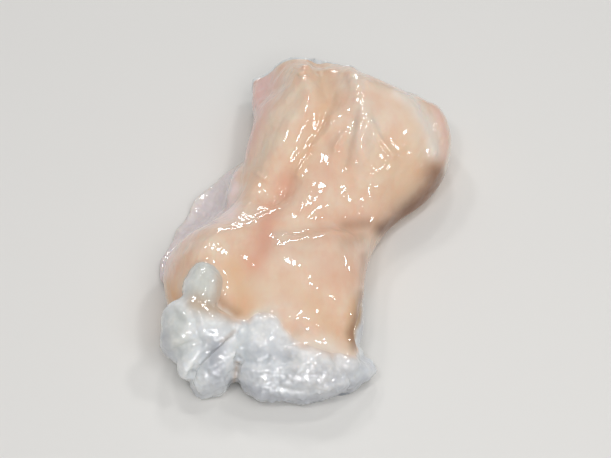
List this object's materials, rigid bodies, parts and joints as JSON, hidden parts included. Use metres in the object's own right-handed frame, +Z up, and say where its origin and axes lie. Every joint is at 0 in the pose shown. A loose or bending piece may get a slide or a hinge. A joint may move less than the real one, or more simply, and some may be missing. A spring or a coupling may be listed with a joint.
{
  "type": "raw beef intestine piece",
  "caption": "Short cut length of raw large intestine, turned inside out round its fat, with white fat lobes at the cut ends.",
  "frame": {"origin": "centre of the bounding box at its underside, on the surface that the piece lies on", "axes": "+Z up from the flat underside; +Y along the piece, from the fat lobes at the front to the other cut end; +X to the right seen from the front"},
  "size_m": [0.0662, 0.096, 0.0217],
  "materials": {
    "gut_wall": "wet, glossy, translucent peach tissue with pink and orange zones",
    "fat": "wet, granular white fat"
  },
  "bodies": {
    "root": {"gut_wall": "gut_wall", "fat": "fat"}
  },
  "joints": []
}
